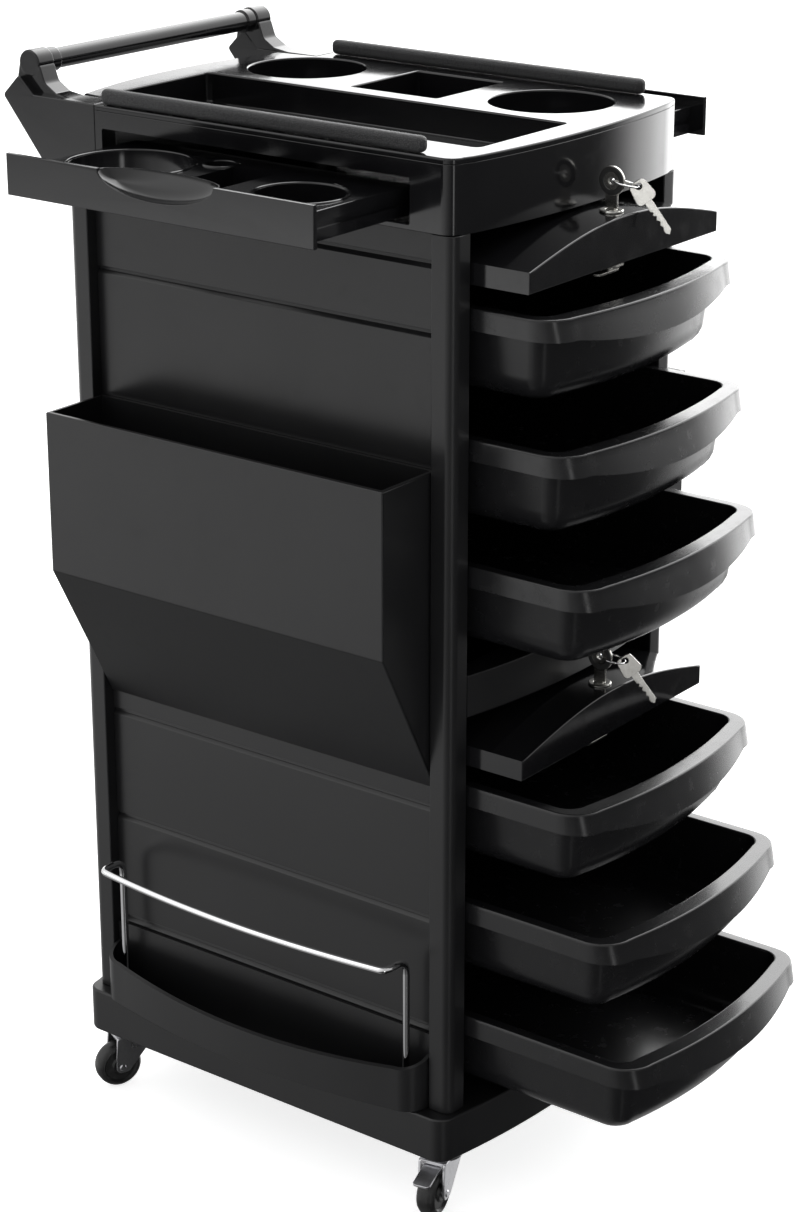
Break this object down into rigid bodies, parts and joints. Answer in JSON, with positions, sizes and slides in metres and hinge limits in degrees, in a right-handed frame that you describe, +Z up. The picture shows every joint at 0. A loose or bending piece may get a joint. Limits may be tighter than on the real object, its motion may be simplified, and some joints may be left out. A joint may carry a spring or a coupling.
{
  "type": "salon trolley cart",
  "caption": "Black plastic spa trolley on swivel casters: pull-out drawers, stowed locking doors, side pull-out trays, side pockets, bottle shelves with wire rails and a push handle.",
  "frame": {"origin": "on the floor, under the middle of the cart's overall box", "axes": "+Z up, drawers open towards -Y, push handle at +Y, X runs across the cart"},
  "size_m": [0.502, 0.611, 0.883],
  "materials": {
    "gloss_black_plastic": "polished injection-moulded black, mirror-like on the top box and drawer rims",
    "satin_black_plastic": "satin black with a faint moulded grain",
    "textured_black_plastic": "textured black with a leather-like moulded grain",
    "chrome_wire": "bright chrome plate on bent wire",
    "zinc_plated_steel": "zinc-plated pressed steel",
    "nickel_plated_brass": "nickel-plated brass",
    "black_nylon": "black nylon, slightly worn tread"
  },
  "bodies": {
    "cabinet": {"base_tray": "satin_black_plastic", "post_front_left": "satin_black_plastic", "post_front_right": "satin_black_plastic", "post_rear_left": "satin_black_plastic", "post_rear_right": "satin_black_plastic", "side_panel_left": "satin_black_plastic", "side_panel_right": "satin_black_plastic", "back_panel": "satin_black_plastic", "runner_rack_left": "satin_black_plastic", "runner_rack_right": "satin_black_plastic", "middle_rail": "satin_black_plastic", "top_box": "gloss_black_plastic", "top_tray": "gloss_black_plastic", "handle_arm_left": "gloss_black_plastic", "handle_arm_right": "gloss_black_plastic", "handle_bar": "gloss_black_plastic", "fence_left": "textured_black_plastic", "fence_right": "textured_black_plastic", "side_pocket_left": "satin_black_plastic", "side_pocket_right": "satin_black_plastic", "bottle_shelf_left": "satin_black_plastic", "bottle_shelf_right": "satin_black_plastic", "shelf_rail_left": "chrome_wire", "shelf_rail_right": "chrome_wire", "caster_plate_front_left": "zinc_plated_steel", "caster_plate_rear_left": "zinc_plated_steel", "caster_plate_front_right": "zinc_plated_steel", "caster_plate_rear_right": "zinc_plated_steel"},
    "drawer_1": {"drawer_1": "gloss_black_plastic"},
    "drawer_2": {"drawer_2": "gloss_black_plastic"},
    "drawer_3": {"drawer_3": "gloss_black_plastic"},
    "drawer_4": {"drawer_4": "gloss_black_plastic"},
    "drawer_5": {"drawer_5": "gloss_black_plastic"},
    "drawer_6": {"drawer_6": "gloss_black_plastic"},
    "side_tray_left": {"side_tray_left": "satin_black_plastic"},
    "side_tray_right": {"side_tray_right": "satin_black_plastic"},
    "door_upper": {"door_upper": "satin_black_plastic", "lock_body_upper": "nickel_plated_brass", "key_ring_upper": "chrome_wire"},
    "lock_upper": {"lock_plug_upper": "nickel_plated_brass", "key_upper": "nickel_plated_brass"},
    "spare_key_upper": {"spare_key_upper": "nickel_plated_brass"},
    "door_lower": {"door_lower": "satin_black_plastic", "lock_body_lower": "nickel_plated_brass", "key_ring_lower": "chrome_wire"},
    "lock_lower": {"lock_plug_lower": "nickel_plated_brass", "key_lower": "nickel_plated_brass"},
    "spare_key_lower": {"spare_key_lower": "nickel_plated_brass"},
    "caster_fork_front_left": {"caster_fork_front_left": "zinc_plated_steel"},
    "caster_wheel_front_left": {"caster_wheel_front_left": "black_nylon"},
    "brake_pedal_front_left": {"brake_pedal_front_left": "zinc_plated_steel"},
    "caster_fork_rear_left": {"caster_fork_rear_left": "zinc_plated_steel"},
    "caster_wheel_rear_left": {"caster_wheel_rear_left": "black_nylon"},
    "caster_fork_front_right": {"caster_fork_front_right": "zinc_plated_steel"},
    "caster_wheel_front_right": {"caster_wheel_front_right": "black_nylon"},
    "brake_pedal_front_right": {"brake_pedal_front_right": "zinc_plated_steel"},
    "caster_fork_rear_right": {"caster_fork_rear_right": "zinc_plated_steel"},
    "caster_wheel_rear_right": {"caster_wheel_rear_right": "black_nylon"}
  },
  "joints": [
    {"name": "drawer_1_slide", "type": "slide", "parent": "cabinet", "child": "drawer_1", "axis": [0, -1, 0], "range_m": [-0.103, 0.102]},
    {"name": "drawer_2_slide", "type": "slide", "parent": "cabinet", "child": "drawer_2", "axis": [0, -1, 0], "range_m": [-0.117, 0.088]},
    {"name": "drawer_3_slide", "type": "slide", "parent": "cabinet", "child": "drawer_3", "axis": [0, -1, 0], "range_m": [-0.134, 0.071]},
    {"name": "drawer_4_slide", "type": "slide", "parent": "cabinet", "child": "drawer_4", "axis": [0, -1, 0], "range_m": [-0.135, 0.07]},
    {"name": "drawer_5_slide", "type": "slide", "parent": "cabinet", "child": "drawer_5", "axis": [0, -1, 0], "range_m": [-0.164, 0.041]},
    {"name": "drawer_6_slide", "type": "slide", "parent": "cabinet", "child": "drawer_6", "axis": [0, -1, 0], "range_m": [-0.187, 0.018]},
    {"name": "side_tray_left_slide", "type": "slide", "parent": "cabinet", "child": "side_tray_left", "axis": [-1, 0, 0], "range_m": [-0.105, 0.008]},
    {"name": "side_tray_right_slide", "type": "slide", "parent": "cabinet", "child": "side_tray_right", "axis": [1, 0, 0], "range_m": [-0.105, 0.008]},
    {"name": "door_upper_slide", "type": "slide", "parent": "cabinet", "child": "door_upper", "axis": [0, -1, 0], "range_m": [-0.008, 0.262]},
    {"name": "lock_upper_turn", "type": "hinge", "parent": "door_upper", "child": "lock_upper", "pos_m": [0, -0.1665, 0.7928], "axis": [0, 0, 1], "range_deg": [0, 90]},
    {"name": "spare_key_upper_swing", "type": "hinge", "parent": "door_upper", "child": "spare_key_upper", "pos_m": [0.01373, -0.18023, 0.8105], "axis": [-0.7071, -0.7071, 0], "range_deg": [0, 60]},
    {"name": "door_lower_slide", "type": "slide", "parent": "cabinet", "child": "door_lower", "axis": [0, -1, 0], "range_m": [-0.008, 0.262]},
    {"name": "lock_lower_turn", "type": "hinge", "parent": "door_lower", "child": "lock_lower", "pos_m": [0, -0.1665, 0.4218], "axis": [0, 0, 1], "range_deg": [0, 90]},
    {"name": "spare_key_lower_swing", "type": "hinge", "parent": "door_lower", "child": "spare_key_lower", "pos_m": [0.01373, -0.18023, 0.4395], "axis": [-0.7071, -0.7071, 0], "range_deg": [0, 60]},
    {"name": "caster_front_left_swivel", "type": "hinge", "parent": "cabinet", "child": "caster_fork_front_left", "pos_m": [-0.125, -0.1105, 0.0539], "axis": [0, 0, 1], "continuous": true},
    {"name": "caster_front_left_roll", "type": "hinge", "parent": "caster_fork_front_left", "child": "caster_wheel_front_left", "pos_m": [-0.14163, -0.11403, 0.02], "axis": [0.2079, -0.9781, 0], "continuous": true},
    {"name": "brake_pedal_front_left_press", "type": "hinge", "parent": "caster_fork_front_left", "child": "brake_pedal_front_left", "pos_m": [-0.14261, -0.11424, 0.0439], "axis": [0.2079, -0.9781, 0], "range_deg": [0, 11]},
    {"name": "caster_rear_left_swivel", "type": "hinge", "parent": "cabinet", "child": "caster_fork_rear_left", "pos_m": [-0.125, 0.2195, 0.0539], "axis": [0, 0, 1], "continuous": true},
    {"name": "caster_rear_left_roll", "type": "hinge", "parent": "caster_fork_rear_left", "child": "caster_wheel_rear_left", "pos_m": [-0.14041, 0.22668, 0.02], "axis": [-0.4226, -0.9063, 0], "continuous": true},
    {"name": "caster_front_right_swivel", "type": "hinge", "parent": "cabinet", "child": "caster_fork_front_right", "pos_m": [0.125, -0.1105, 0.0539], "axis": [0, 0, 1], "continuous": true},
    {"name": "caster_front_right_roll", "type": "hinge", "parent": "caster_fork_front_right", "child": "caster_wheel_front_right", "pos_m": [0.14183, -0.10813, 0.02], "axis": [-0.1392, 0.9903, 0], "continuous": true},
    {"name": "brake_pedal_front_right_press", "type": "hinge", "parent": "caster_fork_front_right", "child": "brake_pedal_front_right", "pos_m": [0.14282, -0.10799, 0.0439], "axis": [-0.1392, 0.9903, 0], "range_deg": [0, 11]},
    {"name": "caster_rear_right_swivel", "type": "hinge", "parent": "cabinet", "child": "caster_fork_rear_right", "pos_m": [0.125, 0.2195, 0.0539], "axis": [0, 0, 1], "continuous": true},
    {"name": "caster_rear_right_roll", "type": "hinge", "parent": "caster_fork_rear_right", "child": "caster_wheel_rear_right", "pos_m": [0.14097, 0.21369, 0.02], "axis": [0.342, 0.9397, 0], "continuous": true}
  ]
}
